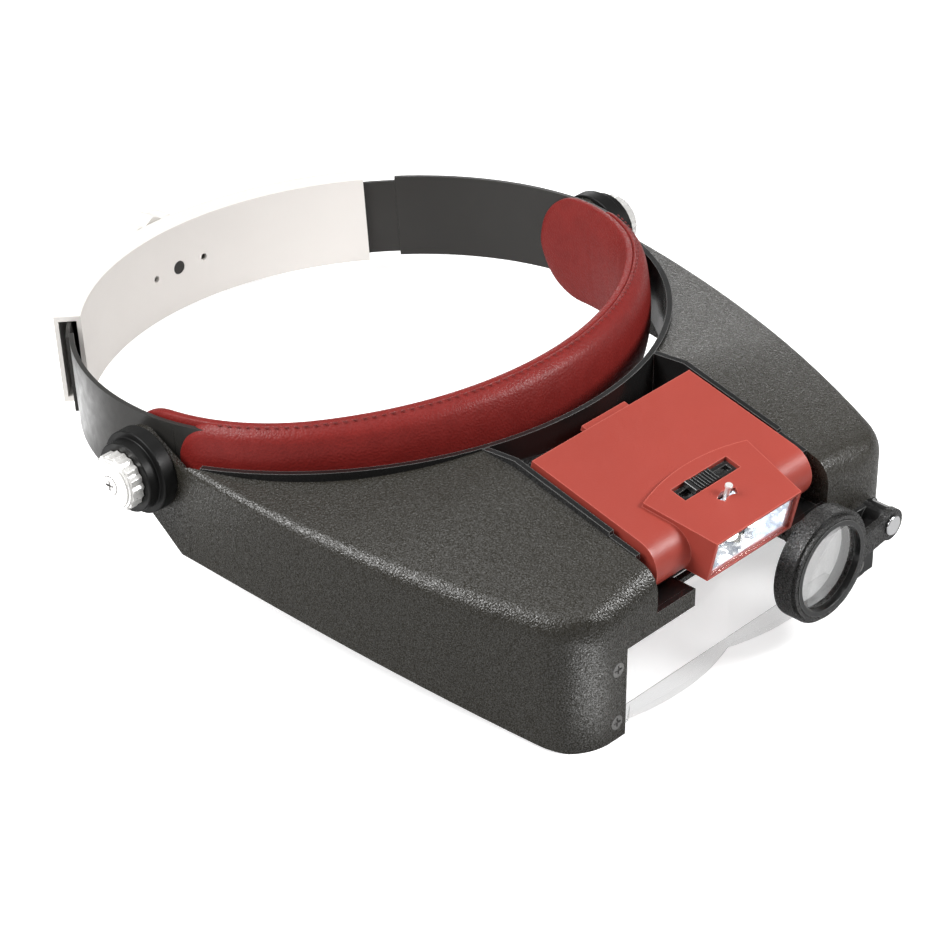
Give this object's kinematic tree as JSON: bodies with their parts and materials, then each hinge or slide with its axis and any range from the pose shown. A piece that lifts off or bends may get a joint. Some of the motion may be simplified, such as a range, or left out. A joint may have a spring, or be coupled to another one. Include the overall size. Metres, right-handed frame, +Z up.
{
  "type": "binocular head magnifier",
  "caption": "Head-worn magnifier visor with a two-lobe lens, hinged lamp box, swing-out round loupe, flip-down lens and padded size-adjustable headband.",
  "frame": {"origin": "on the floor under the middle of the part's box, in the resting pose (front bottom edge and rear knob on the floor)", "axes": "+X to the wearer's left, +Y from the lens towards the back of the head, +Z up"},
  "size_m": [0.2378, 0.2914, 0.0676],
  "materials": {
    "visor_black": "fine grain texture",
    "gloss_black": "gloss",
    "strap_grey": "satin",
    "box_red": "satin",
    "pad_red": "grained leatherette",
    "sleeve_white": "satin",
    "clear_lens": "polished",
    "steel": "machined",
    "chrome": "polished",
    "black_steel": "black oxide",
    "brass": "bright",
    "cell_metal": "satin",
    "led_clear": "clear, lit",
    "white_plastic": "gloss",
    "mirror": "vacuum metallised"
  },
  "bodies": {
    "headband": {"band_strap": "strap_grey", "forehead_pad": "pad_red", "pad_wrap": "pad_red", "strap_tail_left": "strap_grey", "strap_tail_right": "strap_grey", "pivot_studs": "steel", "pivot_washers": "gloss_black"},
    "knob_left": {"clamp_knob_left": "chrome", "knob_screw_left": "steel"},
    "knob_right": {"clamp_knob_right": "chrome", "knob_screw_right": "steel"},
    "sleeve": {"rear_sleeve": "sleeve_white"},
    "rear_knob": {"ratchet_knob": "sleeve_white", "ratchet_pinion": "strap_grey"},
    "visor": {"visor_shell": "visor_black", "inner_frame": "gloss_black", "main_lens": "clear_lens", "lens_screws": "black_steel", "loupe_bracket": "gloss_black", "bracket_screws": "black_steel", "loupe_rivet": "chrome"},
    "lamp_box": {"lamp_housing": "box_red", "battery_contacts": "brass", "switch_body": "gloss_black", "lamp_window": "clear_lens", "reflector": "mirror"},
    "tray": {"battery_tray": "box_red", "batteries": "cell_metal"},
    "slider": {"switch_slider": "gloss_black"},
    "lamp_head": {"led_carrier": "white_plastic", "leds": "led_clear", "lever_pin": "chrome"},
    "flip_lens_unit": {"flip_frame": "gloss_black", "flip_lens": "clear_lens"},
    "loupe": {"loupe_ring": "gloss_black", "loupe_retainer": "gloss_black", "loupe_lens": "clear_lens"}
  },
  "joints": [
    {"name": "visor_tilt", "type": "hinge", "parent": "headband", "child": "visor", "pos_m": [0, 0.02693, 0.03738], "axis": [-1, 0, 0], "range_deg": [-4, 70]},
    {"name": "knob_turn_left", "type": "hinge", "parent": "headband", "child": "knob_left", "pos_m": [0.1147, 0.02693, 0.03738], "axis": [1, 0, 0], "range_deg": [-180, 180]},
    {"name": "knob_turn_right", "type": "hinge", "parent": "headband", "child": "knob_right", "pos_m": [-0.1147, 0.02693, 0.03738], "axis": [-1, 0, 0], "range_deg": [-180, 180]},
    {"name": "band_size", "type": "slide", "parent": "headband", "child": "sleeve", "axis": [0, 0.9837, -0.1797], "range_m": [-0.008, 0.008], "deforming": ["strap_tail_left", "strap_tail_right"]},
    {"name": "rear_knob_turn", "type": "hinge", "parent": "sleeve", "child": "rear_knob", "pos_m": [0, 0.13258, 0.01808], "axis": [0, 0.9837, -0.1797], "range_deg": [-120, 120]},
    {"name": "lamp_tilt", "type": "hinge", "parent": "visor", "child": "lamp_box", "pos_m": [0, -0.11417, 0.04591], "axis": [1, 0, 0], "range_deg": [0, 30]},
    {"name": "tray_slide", "type": "slide", "parent": "lamp_box", "child": "tray", "axis": [0, 0.9917, 0.1288], "range_m": [0, 0.004]},
    {"name": "switch_slide", "type": "slide", "parent": "lamp_box", "child": "slider", "axis": [1, 0, 0], "range_m": [0, 0.0075]},
    {"name": "lamp_swivel", "type": "hinge", "parent": "lamp_box", "child": "lamp_head", "pos_m": [0, -0.12309, 0.04475], "axis": [0, -0.1288, 0.9917], "range_deg": [-25, 25]},
    {"name": "flip_lens_turn", "type": "hinge", "parent": "visor", "child": "flip_lens_unit", "pos_m": [0, -0.11366, 0.03222], "axis": [-1, 0, 0], "range_deg": [0, 90]},
    {"name": "loupe_swing", "type": "hinge", "parent": "visor", "child": "loupe", "pos_m": [0.0616, -0.13779, 0.02489], "axis": [0, 0.9962, -0.0872], "range_deg": [0, 180]}
  ],
  "couplings": [
    {"joint": "rear_knob_turn", "follows": "band_size", "rad_per_m": 250}
  ]
}
